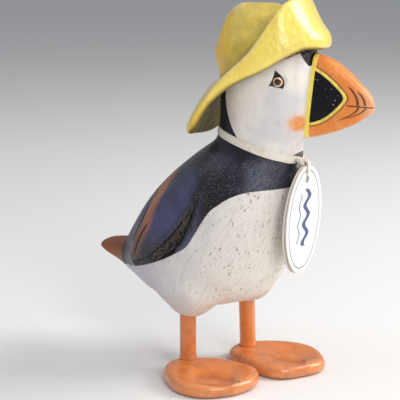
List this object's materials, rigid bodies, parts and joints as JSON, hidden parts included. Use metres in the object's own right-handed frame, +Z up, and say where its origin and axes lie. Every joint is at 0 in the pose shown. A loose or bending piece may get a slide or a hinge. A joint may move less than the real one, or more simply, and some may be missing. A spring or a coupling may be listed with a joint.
{
  "type": "carved wooden puffin figurine",
  "caption": "Hand-carved, painted wooden puffin in a turned-up yellow fisherman's hat, standing on dowel legs and paddle feet, with a ribbon and oval tag.",
  "frame": {"origin": "middle of the whole object's box, at the level of the soles", "axes": "+Z up, the bird faces -Y, its left side is towards +X"},
  "size_m": [0.0884, 0.1548, 0.1932],
  "materials": {
    "body_paint": "satin black and brushed off-white paint on carved wood, rubbed at the edges",
    "eye_paint": "painted eye, dark brown with an orange ring",
    "bill_paint": "satin orange, black and yellow paint",
    "hat_gloss": "gloss yellow paint",
    "leg_paint": "satin terracotta orange paint with worn edges",
    "ribbon_weave": "flat woven cotton tape",
    "tag_card": "thick coated card, matte"
  },
  "bodies": {
    "root": {"tail": "body_paint", "trunk": "body_paint", "wing_left": "body_paint", "wing_right": "body_paint", "neck": "body_paint", "head": "body_paint", "eye_left": "eye_paint", "eye_right": "eye_paint", "bill_upper": "bill_paint", "bill_lower": "bill_paint", "hat_crown": "hat_gloss", "hat_brim": "hat_gloss", "leg_left": "leg_paint", "leg_right": "leg_paint", "foot_left": "leg_paint", "foot_right": "leg_paint", "ribbon": "ribbon_weave", "ribbon_knot": "ribbon_weave", "tag_front": "tag_card", "tag_back": "tag_card"}
  },
  "joints": []
}
